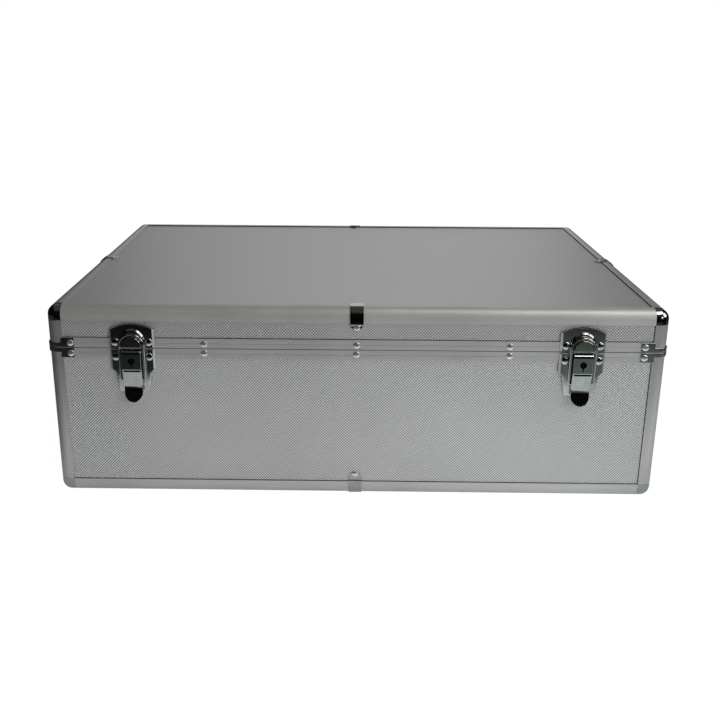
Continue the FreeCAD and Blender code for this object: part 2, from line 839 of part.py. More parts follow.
def hinge_stop():
    """Heel on the lid's knuckle that meets the base leaf when the lid is fully open."""
    drop = hinge_out - hinge_thickness - stop_clearance
    lean = math.degrees(math.asin((drop - stop_thickness / 2) / stop_reach))
    turn = math.radians(lid_opening_degrees - 90 - lean)
    reach = Vector(0, math.cos(turn), math.sin(turn))
    across = Vector(0, -math.sin(turn), math.cos(turn)) * (stop_thickness / 2)
    near, far = knuckle_ranges(True)[0]
    start = hinge_axis_point(far)
    width = abs(far - near)
    ring = Part.makePolygon([start + across, start + across + reach * stop_reach,
                             start - across + reach * stop_reach, start - across, start + across])
    return Part.Face(ring).extrude(Vector(width, 0, 0))


# Linings and dividers


def lining(low, high, floor_low):
    """Open tray of thin sheet inside the walls."""
    outer_x = case_width / 2 - wall_depth
    outer_y = case_depth / 2 - wall_depth
    tray = Part.makeBox(2 * outer_x, 2 * outer_y, high - low, Vector(-outer_x, -outer_y, low))
    inner_x = outer_x - lining_thickness
    inner_y = outer_y - lining_thickness
    room = Part.makeBox(2 * inner_x, 2 * inner_y, high - floor_low, Vector(-inner_x, -inner_y, floor_low))
    return tray.cut(room)


def divider_centres():
    """Middles of the dividers across the case."""
    room = case_width - 2 * lining_depth
    pitch = (room + divider_board) / (divider_count + 1)
    return [(index - (divider_count - 1) / 2) * pitch for index in range(divider_count)]


def divider_board_shape(centre):
    """Upright board between two rows."""
    floor = wall_depth + lining_thickness
    half = case_depth / 2 - lining_depth - divider_end_gap - guide_metal
    corner = Vector(centre - divider_board / 2, -half, floor)
    return Part.makeBox(divider_board, 2 * half, divider_height, corner)


def divider_cap(centre):
    """Folded metal cap on the top edge of a divider."""
    floor = wall_depth + lining_thickness
    half = case_depth / 2 - lining_depth - guide_depth - slide_clearance
    top = floor + divider_height
    width = divider_board + 2 * cap_metal
    start = Vector(centre - width / 2, -half, top - cap_drop)
    cap = Part.makeBox(width, 2 * half, cap_drop + cap_metal, start)
    return cap.cut(Part.makeBox(divider_board, 2 * half, cap_drop, start + Vector(cap_metal, 0, 0)))


def divider_guide(centre, side):
    """Channel on a lined wall that holds one end of a divider."""
    floor = wall_depth + lining_thickness
    slot = divider_board / 2 + slide_clearance
    outer = slot + guide_metal
    deep = lining_depth + guide_depth
    steps = corners((outer + guide_lip, lining_depth), (outer + guide_lip, lining_depth + guide_metal),
                    (outer, lining_depth + guide_metal), (outer, deep), (slot, deep),
                    (slot, lining_depth + guide_metal), (-slot, lining_depth + guide_metal), (-slot, deep),
                    (-outer, deep), (-outer, lining_depth + guide_metal),
                    (-outer - guide_lip, lining_depth + guide_metal))
    middle = centre * side.along.x

    def place(along, depth):
        return side.at(middle + along, depth, floor)
    return prism((-outer - guide_lip, lining_depth), steps, place, Vector(0, 0, guide_height))


# Side handles


def handle_plate(side):
    """Backing plate on a short end with two lugs for the handle."""
    half = handle_plate_half_width
    low = handle_height - handle_plate_bottom
    high = handle_height + handle_plate_top
    plate = side_box(side, (-half, half), (-handle_plate_rise, metal_thickness), (low, high))
    upright = [edge for edge in plate.Edges if abs(edge.tangentAt(edge.FirstParameter).dot(side.out)) > 0.99]
    pieces = [plate.makeChamfer(handle_plate_corner, upright)]
    lug_centre = handle_half_width - handle_rod - lug_gap - lug_thickness / 2 - handle_bend
    top = handle_height + lug_radius
    foot = handle_height - lug_radius
    for middle in (-lug_centre, lug_centre):
        steps = corners((-handle_plate_rise, top), (-handle_out, top))
        steps.append(((-handle_out - lug_radius, handle_height), (-handle_out, foot)))
        pieces.append(side_profile(side, (-handle_plate_rise, foot), steps,
                                   middle - lug_thickness / 2, lug_thickness))
    hole_ends = [side.at(along, -handle_out, handle_height)
                 for along in (-lug_centre - lug_thickness, lug_centre + lug_thickness)]
    return fuse(pieces).cut(bore(*hole_ends, handle_rod + running_clearance))


def handle_bail(side):
    """Round steel handle hanging from its lugs."""
    half = handle_half_width
    reach = half - handle_bend
    inner = reach - handle_rod - 2 * lug_gap - lug_thickness
    low = handle_bend - handle_drop

    def place(along, rise):
        return side.at(along, -handle_out, handle_height + rise)
    path = [place(-inner, 0)] + bend((-reach, -handle_bend), handle_bend, 90, 180, bend_steps, place)
    path += bend((-reach, low), handle_bend, 180, 270, bend_steps, place)
    path += bend((reach, low), handle_bend, 270, 360, bend_steps, place)
    path += bend((reach, -handle_bend), handle_bend, 0, 90, bend_steps, place) + [place(inner, 0)]
    return bar(path, side.out, handle_rod)


def handle_grip(side):
    """Sleeve on the straight part of the handle."""
    reach = handle_half_width - handle_bend - grip_end_gap
    ends = [side.at(along, -handle_out, handle_height - handle_drop) for along in (-reach, reach)]
    return pin(*ends, grip_radius, grip_facets).cut(bar(ends, side.out, handle_rod))


# Rivets by place


def clip_rivets(side, in_lid):
    """Rivets at the ends of a clip."""
    height = (clip_leg if in_lid else base_clip_leg) - clip_rivet_inset
    return [Rivet(side, 0, metal_thickness - clip_thickness, total_height - height if in_lid else height)]


def bracket_rivets(in_lid):
    """Rivets through the plates of the corner brackets."""
    height = base_height + (bracket_rivet_rise if in_lid else -bracket_rivet_rise)
    inset = bracket_reach - bracket_rivet_inset
    return [Rivet(side, sign * (side.span / 2 - inset), -bracket_thickness, height)
            for side in sides for sign in (-1, 1)]


def rim_rivets(in_lid):
    """Rivets along the rims of the front and the short ends."""
    height = base_height + (rim_rivet_rise if in_lid else -rim_rivet_rise)
    places = [(front, along) for along in (-rim_rivet_spacing, 0, rim_rivet_spacing)]
    half = side_rivet_spacing / 2
    places += [(side, along) for side in (left, right) for along in (-half, half)]
    places.append((back, 0))
    return [Rivet(side, along, 0, height) for side, along in places]


def hinge_rivets(in_lid):
    """Rivets of the hinge leaves."""
    height = base_height + (hinge_rivet_height if in_lid else -hinge_rivet_height)
    return [Rivet(back, centre + along, -hinge_thickness, height)
            for centre in (-hinge_offset, hinge_offset)
            for along in (-hinge_rivet_spacing, 0, hinge_rivet_spacing)]


def plate_rivets(height):
    """Rivets of the strikes or the latch plates."""
    level = base_height + height
    return [Rivet(front, centre + along, -plate_rise, level, latch_rivet_head, latch_rivet_rise)
            for centre in (-latch_offset, latch_offset)
            for along in (-latch_rivet_offset, latch_rivet_offset)]


def handle_rivets():
    """Rivets of the handle plates."""
    edge = handle_plate_corner
    heights = (handle_height + handle_plate_top - edge, handle_height - handle_plate_bottom + edge)
    return [Rivet(side, sign * (handle_plate_half_width - edge), -handle_plate_rise, height)
            for side in (left, right) for sign in (-1, 1) for height in heights]


def moved(shape, along):
    """Copy of a piece made at the middle, shifted along X."""
    copy = shape.copy()
    copy.translate(Vector(along, 0, 0))
    return copy


def build_frame():
    """Boards, profiles, rims, caps, clips, brackets and their rivets, for base and lid."""
    lid_rivets = [rivet for side in sides for rivet in clip_rivets(side, True)]
    lid_rivets += bracket_rivets(True) + rim_rivets(True) + hinge_rivets(True)
    base_rivets = [rivet for side in sides for rivet in clip_rivets(side, False)]
    base_rivets += bracket_rivets(False) + rim_rivets(False) + hinge_rivets(False) + handle_rivets()
    strikes = plate_rivets(strike_rivet_height)
    latches = plate_rivets(-latch_rivet_depth)
    for side in sides:
        save("base_" + side.name + "_panel",
             side_board(side, board_seat, base_top - rim_web))
        save("lid_" + side.name + "_panel",
             side_board(side, lid_bottom + rim_web, total_height - board_seat))
        save("base_" + side.name + "_edge", edge_bar(side))
        save("lid_" + side.name + "_edge", as_lid(edge_bar(side)))
        save("base_" + side.name + "_rim", base_rim(side))
        save("lid_" + side.name + "_rim", lid_rim(side))
    save("base_bottom_panel", flat_board())
    save("lid_top_panel", as_lid(flat_board()))
    save("base_corner_posts", group(at_four_corners(corner_post(edge_leg, base_top))))
    save("lid_corner_posts", group(at_four_corners(corner_post(lid_bottom, total_height - edge_leg))))
    save("base_corner_caps", group(at_four_corners(corner_cap())))
    save("lid_corner_caps", group(at_four_corners(as_lid(corner_cap()))))
    save("base_edge_clips", group([base_clip(side) for side in sides]))
    save("lid_edge_clips", group([lid_clip(side) for side in sides]))
    base_bracket = corner_bracket(base_top - rim_height, base_top, base_top - bracket_neck)
    lid_bracket = corner_bracket(lid_bottom, lid_bottom + rim_height, lid_bottom)
    save("base_corner_brackets", group(at_four_corners(base_bracket)))
    save("lid_corner_brackets", group(at_four_corners(lid_bracket)))
    save("base_frame_rivets", group([rivet.solid() for rivet in base_rivets]))
    save("lid_frame_rivets", group([rivet.solid() for rivet in lid_rivets]))
    save("strike_rivets", group([rivet.solid() for rivet in strikes]))
    save("latch_rivets", group([rivet.solid() for rivet in latches]))


def build_latches():
    """Strikes, latch plates and pins in pairs, and the moving pieces of each latch."""
    places = (-latch_offset, latch_offset)
    save("latch_strikes", group([moved(strike(), along) for along in places]))
    save("latch_plates", group([moved(latch_plate(), along) for along in places]))
    for name, along in zip(("left", "right"), places):
        save(name + "_latch_lever", moved(lever(), along))
        save(name + "_latch_bail", moved(bail(), along))
        save(name + "_lock_cam", moved(lock_cam(), along))


def build_hinges():
    """Hinge leaves in pairs."""
    places = (-hinge_offset, hinge_offset)
    save("lid_hinge_leaves", group([moved(hinge_leaf_shape(True), along) for along in places]))
    save("base_hinge_leaves", group([moved(hinge_leaf_shape(False), along) for along in places]))


def build_inside():
    """Linings, dividers with their caps, and the guides on the walls."""
    floor = wall_depth + lining_thickness
    save("base_lining", lining(wall_depth, base_top - rim_height, floor))
    lid_room = total_height - (lid_bottom + rim_height)
    save("lid_lining", as_lid(lining(wall_depth, lid_room, floor)))
    centres = divider_centres()
    save("row_dividers", group([divider_board_shape(centre) for centre in centres]))
    save("divider_caps", group([divider_cap(centre) for centre in centres]))
    guides = [divider_guide(centre, side) for centre in centres for side in (front, back)]
    save("divider_guides", group(guides))


def build_handles():
    """Folding handles on the short ends."""
    save("handle_plates", group([handle_plate(side) for side in (left, right)]))
    for side in (left, right):
        save(side.name + "_handle", handle_bail(side))
        save(side.name + "_handle_grip", handle_grip(side))


build_frame()
build_latches()
build_hinges()
build_inside()
build_handles()
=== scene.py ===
import bpy
import bmesh
import json
import math
from mathutils import Matrix, Vector

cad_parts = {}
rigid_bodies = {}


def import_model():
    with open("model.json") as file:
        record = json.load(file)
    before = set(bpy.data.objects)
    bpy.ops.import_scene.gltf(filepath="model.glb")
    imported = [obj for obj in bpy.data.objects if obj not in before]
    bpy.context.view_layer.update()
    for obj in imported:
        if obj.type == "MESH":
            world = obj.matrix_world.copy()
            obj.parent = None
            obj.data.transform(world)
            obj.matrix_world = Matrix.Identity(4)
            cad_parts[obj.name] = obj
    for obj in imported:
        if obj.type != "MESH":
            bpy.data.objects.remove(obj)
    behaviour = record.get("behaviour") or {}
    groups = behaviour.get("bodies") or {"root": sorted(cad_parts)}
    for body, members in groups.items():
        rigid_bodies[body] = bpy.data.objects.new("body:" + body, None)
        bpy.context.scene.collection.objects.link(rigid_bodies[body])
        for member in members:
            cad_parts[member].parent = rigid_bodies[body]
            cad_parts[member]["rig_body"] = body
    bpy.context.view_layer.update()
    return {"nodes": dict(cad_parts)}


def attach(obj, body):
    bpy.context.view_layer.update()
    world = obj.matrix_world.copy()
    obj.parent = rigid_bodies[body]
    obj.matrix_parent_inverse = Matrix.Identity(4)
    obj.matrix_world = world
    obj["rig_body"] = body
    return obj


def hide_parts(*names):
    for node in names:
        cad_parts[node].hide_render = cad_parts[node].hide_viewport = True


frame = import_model()
nodes = frame["nodes"]
MM = 0.001

# Sizes that the dressed pieces share with the frame, in millimetres
WIDTH = 600.0
DEPTH = 440.0
PARTING = 154.5
TOTAL = 196.0
LATCH_X = 217.5


# Materials

def new_material(name, metallic, roughness):
    mat = bpy.data.materials.new(name)
    mat.use_nodes = True
    tree = mat.node_tree
    shader = tree.nodes["Principled BSDF"]
    shader.inputs["Metallic"].default_value = metallic
    shader.inputs["Roughness"].default_value = roughness
    return mat, tree, shader


def add(tree, kind, **values):
    node = tree.nodes.new(kind)
    for key, value in values.items():
        setattr(node, key, value)
    return node


def math_node(tree, operation, a, b=None, clamp=False):
    node = add(tree, "ShaderNodeMath", operation=operation, use_clamp=clamp)
    for index, value in enumerate((a, b)):
        if value is None:
            continue
        if isinstance(value, (int, float)):
            node.inputs[index].default_value = value
        else:
            tree.links.new(value, node.inputs[index])
    return node.outputs[0]


def object_axes(tree):
    coord = add(tree, "ShaderNodeTexCoord")
    split = add(tree, "ShaderNodeSeparateXYZ")
    tree.links.new(coord.outputs["Object"], split.inputs[0])
    return coord.outputs["Object"], split.outputs


def stretched_noise(tree, coords, scale, detail=3.0, size=1.0):
    mapping = add(tree, "ShaderNodeMapping")
    mapping.inputs["Scale"].default_value = scale
    noise = add(tree, "ShaderNodeTexNoise")
    noise.inputs["Scale"].default_value = size
    noise.inputs["Detail"].default_value = detail
    tree.links.new(coords, mapping.inputs[0])
    tree.links.new(mapping.outputs[0], noise.inputs["Vector"])
    return noise.outputs["Fac"]


def ramp(tree, factor, low, high, dark, light):
    node = add(tree, "ShaderNodeValToRGB")
    node.color_ramp.elements[0].position = low
    node.color_ramp.elements[1].position = high
    node.color_ramp.elements[0].color = (*dark, 1)
    node.color_ramp.elements[1].color = (*light, 1)
    tree.links.new(factor, node.inputs[0])
    return node.outputs[0]


def spread(tree, factor, low, high):
    node = add(tree, "ShaderNodeMapRange")
    node.inputs["To Min"].default_value = low
    node.inputs["To Max"].default_value = high
    tree.links.new(factor, node.inputs[0])
    return node.outputs[0]


def bump(tree, shader, height, distance, strength=1.0, after=None):
    node = add(tree, "ShaderNodeBump")
    node.inputs["Distance"].default_value = distance
    node.inputs["Strength"].default_value = strength
    tree.links.new(height, node.inputs["Height"])
    if after is not None:
        tree.links.new(after, node.inputs["Normal"])
    tree.links.new(node.outputs[0], shader.inputs["Normal"])
    return node.outputs[0]


PITCH = 2.8 * MM
ROW = 2.9 * MM


def embossed(name, across, up, dark, light, depth, lean=0.5, low=0.12, high=0.92):
    """Sheet with staggered dots pressed into it, which run together along one diagonal; the colour follows the dots
    too, dark in the hollows and light on the tops, as painted shading.
    """
    mat, tree, shader = new_material(name, 0.72, 0.4)
    coords, axes = object_axes(tree)
    u = math_node(tree, "MULTIPLY", axes[across], 2 * math.pi / PITCH)
    v = math_node(tree, "MULTIPLY", axes[up], 2 * math.pi / ROW)
    rising = math_node(tree, "COSINE", math_node(tree, "SUBTRACT", u, v))
    falling = math_node(tree, "COSINE", math_node(tree, "ADD", u, v))
    dots = math_node(tree, "ADD", math_node(tree, "MULTIPLY", rising, lean), math_node(tree, "MULTIPLY", falling, 1 - lean))
    level = math_node(tree, "MULTIPLY_ADD", dots, 0.5)
    level.node.inputs[2].default_value = 0.5
    streaks = stretched_noise(tree, coords, (9, 9, 9), 4.0)
    tone = math_node(tree, "MULTIPLY_ADD", streaks, 0.16)
    tone.node.inputs[2].default_value = -0.08
    # Painted shading: the dots' tone goes from the dark colour in the hollows to the light one on the tops
    colour = ramp(tree, math_node(tree, "ADD", level, tone), low, high, dark, light)
    tree.links.new(colour, shader.inputs["Base Color"])
    grain = stretched_noise(tree, coords, (900, 900, 900), 2.0)
    tree.links.new(spread(tree, grain, 0.33, 0.46), shader.inputs["Roughness"])
    first = bump(tree, shader, grain, 0.00003, 0.5)
    bump(tree, shader, level, depth, 1.0, first)
    return mat


def extrusion(name, along, colour, metallic=0.79, rough=(0.32, 0.44)):
    """Satin profile with fine lines drawn along it."""
    mat, tree, shader = new_material(name, metallic, 0.4)
    coords, axes = object_axes(tree)
    scale = [2600.0, 2600.0, 2600.0]
    scale[along] = 6.0
    lines = stretched_noise(tree, coords, scale, 2.0)
    cloud = stretched_noise(tree, coords, (14, 14, 14), 3.0)
    mixed = math_node(tree, "ADD", math_node(tree, "MULTIPLY", lines, 0.55), math_node(tree, "MULTIPLY", cloud, 0.45))
    dark = [c * 0.86 for c in colour]
    light = [min(1.0, c * 1.12) for c in colour]
    tree.links.new(ramp(tree, mixed, 0.3, 0.7, dark, light), shader.inputs["Base Color"])
    tree.links.new(spread(tree, lines, *rough), shader.inputs["Roughness"])
    bump(tree, shader, lines, 0.00002, 0.35)
    return mat


def chrome(name, colour=(0.53, 0.535, 0.53), rough=(0.05, 0.12), metallic=1.0):
    """Plated pressing with faint marks."""
    mat, tree, shader = new_material(name, metallic, 0.08)
    coords, axes = object_axes(tree)
    cloud = stretched_noise(tree, coords, (160, 160, 160), 4.0)
    dark = [c * 0.84 for c in colour]
    tree.links.new(ramp(tree, cloud, 0.25, 0.75, dark, colour), shader.inputs["Base Color"])
    tree.links.new(spread(tree, cloud, *rough), shader.inputs["Roughness"])
    bump(tree, shader, cloud, 0.00006, 0.25)
    return mat


def felt(name, colour):
    """Short dark pile glued to the walls."""
    mat, tree, shader = new_material(name, 0.0, 0.95)
    coords, axes = object_axes(tree)
    pile = stretched_noise(tree, coords, (1400, 1400, 1400), 4.0)
    cloud = stretched_noise(tree, coords, (26, 26, 26), 3.0)
    mixed = math_node(tree, "ADD", math_node(tree, "MULTIPLY", pile, 0.6), math_node(tree, "MULTIPLY", cloud, 0.4))
    dark = [c * 0.6 for c in colour]
    light = [c * 1.5 for c in colour]
    tree.links.new(ramp(tree, mixed, 0.3, 0.7, dark, light), shader.inputs["Base Color"])
    shader.inputs["Sheen Weight"].default_value = 0.35
    shader.inputs["Sheen Roughness"].default_value = 0.5
    bump(tree, shader, pile, 0.0004, 0.8)
    return mat


def moulded(name, colour, rough=0.55):
    """Moulded plastic or rubber with a fine grain."""
    mat, tree, shader = new_material(name, 0.0, rough)
    coords, axes = object_axes(tree)
    grain = stretched_noise(tree, coords, (1200, 1200, 1200), 3.0)
    dark = [c * 0.75 for c in colour]
    light = [c * 1.3 for c in colour]
    tree.links.new(ramp(tree, grain, 0.3, 0.7, dark, light), shader.inputs["Base Color"])
    tree.links.new(spread(tree, grain, rough - 0.1, rough + 0.12), shader.inputs["Roughness"])
    bump(tree, shader, grain, 0.0001, 0.5)
    return mat


# Tones of the pressed dots' hollows and tops, as painted shading
PANEL_SHADED_DOT = (0.22, 0.225, 0.225)
PANEL_LIT_DOT = (0.74, 0.75, 0.75)
front_sheet = embossed("embossed_front", 0, 2, PANEL_SHADED_DOT, PANEL_LIT_DOT, 0.00035, 0.66)
# Darker copy of the front sheet for the lid's front, as painted shade: the lid's front is less lit than the base's
lid_front_sheet_shaded = embossed("embossed_lid_front_shaded", 0, 2, (0.13, 0.135, 0.135), (0.68, 0.69, 0.69), 0.00035, 0.6)
side_sheet = embossed("embossed_side", 1, 2, PANEL_SHADED_DOT, PANEL_LIT_DOT, 0.00035, 0.66)
flat_sheet = embossed("embossed_flat", 0, 1, (0.33, 0.335, 0.34), (0.50, 0.505, 0.515), 0.00018)
PROFILE = (0.51, 0.51, 0.497)
profile_x = extrusion("profile_x", 0, PROFILE, 0.79, (0.38, 0.5))
profile_top = extrusion("profile_top", 0, (0.485, 0.485, 0.472), 0.77, (0.45, 0.57))
profile_y = extrusion("profile_y", 1, PROFILE)
profile_z = extrusion("profile_z", 2, (0.53, 0.522, 0.53), 0.88)
fitting_chrome = chrome("fitting_chrome")
latch_chrome = chrome("latch_chrome", (0.54, 0.55, 0.54), (0.03, 0.09))
rivet_chrome = chrome("rivet_chrome", (0.68, 0.68, 0.67), (0.1, 0.2))
rivet_satin = chrome("rivet_satin", (0.84, 0.84, 0.83), (0.1, 0.2), 0.92)
hinge_steel = chrome("hinge_steel", (0.58, 0.58, 0.57), (0.14, 0.26))
handle_steel = chrome("handle_steel", (0.6, 0.6, 0.6), (0.08, 0.16))
divider_metal = extrusion("divider_metal", 1, (0.5, 0.5, 0.5))
divider_board = felt("divider_board", (0.035, 0.035, 0.038))
lining_felt = felt("lining_felt", (0.04, 0.04, 0.043))
grip_rubber = moulded("grip_rubber", (0.03, 0.03, 0.032), 0.6)
# Near-black finish of the lock cams, also used for the painted shadow lines and the painted shadow under the lever
# housings
lock_steel_and_painted_shade = moulded("lock_steel_and_painted_shade", (0.002, 0.002, 0.002), 0.7)
lock_steel_and_painted_shade.node_tree.nodes["Principled BSDF"].inputs["Specular IOR Level"].default_value = 0.08


# Shapes

def link(obj):
    bpy.context.scene.collection.objects.link(obj)
    return obj


def assign(obj, mat):
    obj.data.materials.clear()
    obj.data.materials.append(mat)


def apply_modifiers(obj):
    depsgraph = bpy.context.evaluated_depsgraph_get()
    made = bpy.data.meshes.new_from_object(obj.evaluated_get(depsgraph))
    obj.modifiers.clear()
    obj.data = made


def weigh_normals(obj):
    """Large flat faces keep their own normal beside the rounded edges."""
    mod = obj.modifiers.new("normals", "WEIGHTED_NORMAL")
    mod.mode = "FACE_AREA"
    mod.weight = 100
    mod.keep_sharp = True
    apply_modifiers(obj)


def smooth_by_angle(obj, degrees):
    mesh = obj.data
    limit = math.radians(degrees)
    work = bmesh.new()
    work.from_mesh(mesh)
    for face in work.faces:
        face.smooth = True
    for edge in work.edges:
        sharp = len(edge.link_faces) != 2 or edge.calc_face_angle(0) > limit
        edge.smooth = not sharp
    work.to_mesh(mesh)
    work.free()


def round_edges(obj, width, segments, limit, clamp=True):
    """Rounding of the edges that turn by more than the limit, or of the weighted ones where there is no limit."""
    mod = obj.modifiers.new("edges", "BEVEL")
    mod.width = width * MM
    mod.segments = segments
    mod.limit_method = "ANGLE" if limit else "WEIGHT"
    mod.angle_limit = math.radians(limit or 0)
    mod.use_clamp_overlap = clamp
    apply_modifiers(obj)


def mark_edges(obj, chosen):
    """Bevel weight on the chosen sharp edges."""
    work = bmesh.new()
    work.from_mesh(obj.data)
    layer = work.edges.layers.float.new("bevel_weight_edge")
    for edge in work.edges:
        if len(edge.link_faces) == 2 and edge.calc_face_angle(0) > 0.5:
            middle = (edge.verts[0].co + edge.verts[1].co) / 2 / MM
            first, second = (face.normal for face in edge.link_faces)
            edge[layer] = 1.0 if chosen(middle, first, second) else 0.0
    work.to_mesh(obj.data)
    work.free()


def copy_of(node, name, wanted=None):
    """Object with a node's shape, its flat faces in one piece; only the wanted faces where they are given."""
    mesh = bpy.data.meshes.new(name)
    work = bmesh.new()
    work.from_mesh(nodes[node].data)
    bmesh.ops.remove_doubles(work, verts=work.verts, dist=2e-6)
    bmesh.ops.dissolve_limit(work, angle_limit=math.radians(1.0), verts=work.verts, edges=work.edges)
    if wanted:
        extra = [face for face in work.faces if not wanted(face)]
        bmesh.ops.delete(work, geom=extra, context="FACES")
    work.to_mesh(mesh)
    work.free()
    mesh.attributes.remove(mesh.attributes["custom_normal"]) if "custom_normal" in mesh.attributes else None
    return link(bpy.data.objects.new(name, mesh))


def dress(node, mat, bevel=0.3, segments=2, smooth=35.0, limit=30.0, wide=None, chosen=None, wanted=None):
    """Copy of a node's shape with rounded edges, which stands for the node."""
    obj = copy_of(node, node + "_finish", wanted)
    if wide:
        mark_edges(obj, chosen)
        round_edges(obj, wide, 4, None, False)
    if bevel:
        round_edges(obj, bevel, segments, limit)
    smooth_by_angle(obj, smooth)
    weigh_normals(obj)
    assign(obj, mat)
    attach(obj, nodes[node]["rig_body"])
    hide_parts(node)
    return obj


def keep(node, mat):
    assign(nodes[node], mat)


def lathe(work, centre, axis, profile, steps=20):
    """Rings of a turned shape; the profile is pairs of radius and distance along the axis."""
    axis = Vector(axis).normalized()
    side = axis.orthogonal().normalized()
    other = axis.cross(side)
    rings = []
    for radius, lift in profile:
        if radius < 1e-6:
            rings.append([work.verts.new(centre + axis * lift * MM)])
            continue
        ring = []
        for index in range(steps):
            angle = 2 * math.pi * index / steps
            offset = side * math.cos(angle) + other * math.sin(angle)
            ring.append(work.verts.new(centre + offset * radius * MM + axis * lift * MM))
        rings.append(ring)
    for low, high in zip(rings, rings[1:]):
        for index in range(steps):
            nxt = (index + 1) % steps
            if len(high) == 1:
                work.faces.new((low[index], low[nxt], high[0]))
            else:
                work.faces.new((low[index], low[nxt], high[nxt], high[index]))


def mesh_object(name, work, mat, body, smooth=40.0):
    mesh = bpy.data.meshes.new(name)
    bmesh.ops.recalc_face_normals(work, faces=work.faces)
    work.to_mesh(mesh)
    work.free()
    obj = link(bpy.data.objects.new(name, mesh))
    smooth_by_angle(obj, smooth)
    assign(obj, mat)
    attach(obj, body)
    return obj


def islands(node):
    """Lowest and highest corner of each separate solid of a node."""
    work = bmesh.new()
    work.from_mesh(nodes[node].data)
    bmesh.ops.remove_doubles(work, verts=work.verts, dist=2e-6)
    left = set(work.verts)
    found = []
    while left:
        stack = [left.pop()]
        members = []
        while stack:
            vert = stack.pop()
            members.append(vert.co.copy())
            for edge in vert.link_edges:
                other = edge.other_vert(vert)
                if other in left:
                    left.remove(other)
                    stack.append(other)
        low = Vector([min(p[i] for p in members) for i in range(3)])
        high = Vector([max(p[i] for p in members) for i in range(3)])
        found.append((low, high))
    work.free()
    return sorted(found, key=lambda pair: tuple(round(v, 5) for v in pair[0]))


def rivets(node, body, mat):
    """Domed rivet heads on the seats of a node's plain heads."""
    work = bmesh.new()
    for low, high in islands(node):
        size = high - low
        axis_index = min(range(3), key=lambda i: size[i])
        centre = (low + high) / 2
        outward = Vector((0, 0, 0))
        outward[axis_index] = 1 if centre[axis_index] > 0 else -1
        seat = centre.copy()
        seat[axis_index] = low[axis_index] if outward[axis_index] > 0 else high[axis_index]
        radius = max(size) / 2 / MM * 1.12
        rise = size[axis_index] / MM
        profile = [(radius, 0), (radius, rise * 0.12)]
        profile += [(radius * math.cos(math.radians(a)), rise * (0.12 + 0.88 * math.sin(math.radians(a))))
                    for a in (10, 20, 30, 40, 50, 60, 70, 80)]
        lathe(work, seat, outward, profile + [(0, rise)], 24)
    obj = mesh_object(node + "_domes", work, mat, body, 60.0)
    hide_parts(node)


def tube_object(name, points, radius, mat, body, steps=14):
    """Round bar along points in metres, closed at the ends."""
    work = bmesh.new()
    rings = []
    normal = None
    for index, point in enumerate(points):
        before = points[max(index - 1, 0)]
        after = points[min(index + 1, len(points) - 1)]
        ahead = (after - before).normalized()
        if normal is None:
            normal = ahead.orthogonal().normalized()
        normal = (normal - ahead * normal.dot(ahead)).normalized()
        other = ahead.cross(normal)
        rings.append([work.verts.new(point + (normal * math.cos(a) + other * math.sin(a)) * radius)
                      for a in (2 * math.pi * k / steps for k in range(steps))])
    for low, high in zip(rings, rings[1:]):
        for k in range(steps):
            n = (k + 1) % steps
            work.faces.new((low[k], low[n], high[n], high[k]))
    work.faces.new(rings[0])
    work.faces.new(rings[-1])
    return mesh_object(name, work, mat, body, 50.0)


def arc(centre, radius, start, end, steps, place):
    return [place(centre[0] + radius * math.cos(math.radians(start + (end - start) * k / steps)),
                  centre[1] + radius * math.sin(math.radians(start + (end - start) * k / steps)))
            for k in range(steps + 1)]


def rounded_block(work, low, high, radius, segments=3):
    """Box in millimetres with rounded edges."""
    made = bmesh.ops.create_cube(work, size=1.0)
    verts = made["verts"]
    for vert in verts:
        for axis in range(3):
            vert.co[axis] = (low[axis] if vert.co[axis] < 0 else high[axis]) * MM
    edges = list({edge for vert in verts for edge in vert.link_edges})
    bmesh.ops.bevel(work, geom=edges, offset=radius * MM, segments=segments, profile=0.5, affect="EDGES")


# Frame of the case

def clip_slopes(name, body, step, way):
    """Slope where each clip comes down from the edge profile to the board; the way is up or down."""
    work = bmesh.new()
    for along, out in ((0, -1), (0, 1), (1, -1), (1, 1)):
        face = (DEPTH if along == 0 else WIDTH) / 2
        rings = []
        for across in (-6.45, 6.45):
            ring = []
            for depth, level in ((1.0, step), (-0.25, step), (-0.25, step + way * 1.9)):
                point = Vector((0, 0, level))
                point[along] = across
                point[1 - along] = out * (face + depth)
                ring.append(work.verts.new(point * MM))
            rings.append(ring)
        for k in range(3):
            work.faces.new((rings[0][k], rings[0][(k + 1) % 3], rings[1][(k + 1) % 3], rings[1][k]))
        work.faces.new(rings[0])
        work.faces.new(rings[1])
    mesh_object(name, work, fitting_chrome, body, 20.0)


for part in ("base", "lid"):
    keep(part + "_front_panel", front_sheet if part == "base" else lid_front_sheet_shaded)
    keep(part + "_back_panel", front_sheet)
    keep(part + "_left_panel", side_sheet)
    keep(part + "_right_panel", side_sheet)
    for side, mat in (("front", profile_x), ("back", profile_x), ("left", profile_y), ("right", profile_y)):
        top = part == "lid" and mat is profile_x
        dress(f"{part}_{side}_edge", profile_top if top else mat, 0.25)
        dress(f"{part}_{side}_rim", mat, 0.15)
    dress(part + "_corner_posts", profile_z, 0.25)
    dress(part + "_corner_caps", fitting_chrome, 0.3)
    dress(part + "_edge_clips", fitting_chrome, 0.12, 2)
    dress(part + "_corner_brackets", fitting_chrome, 0.5, 3)
    rivets(part + "_frame_rivets", part, rivet_satin)
    dress(part + "_hinge_leaves", hinge_steel, 0.25)


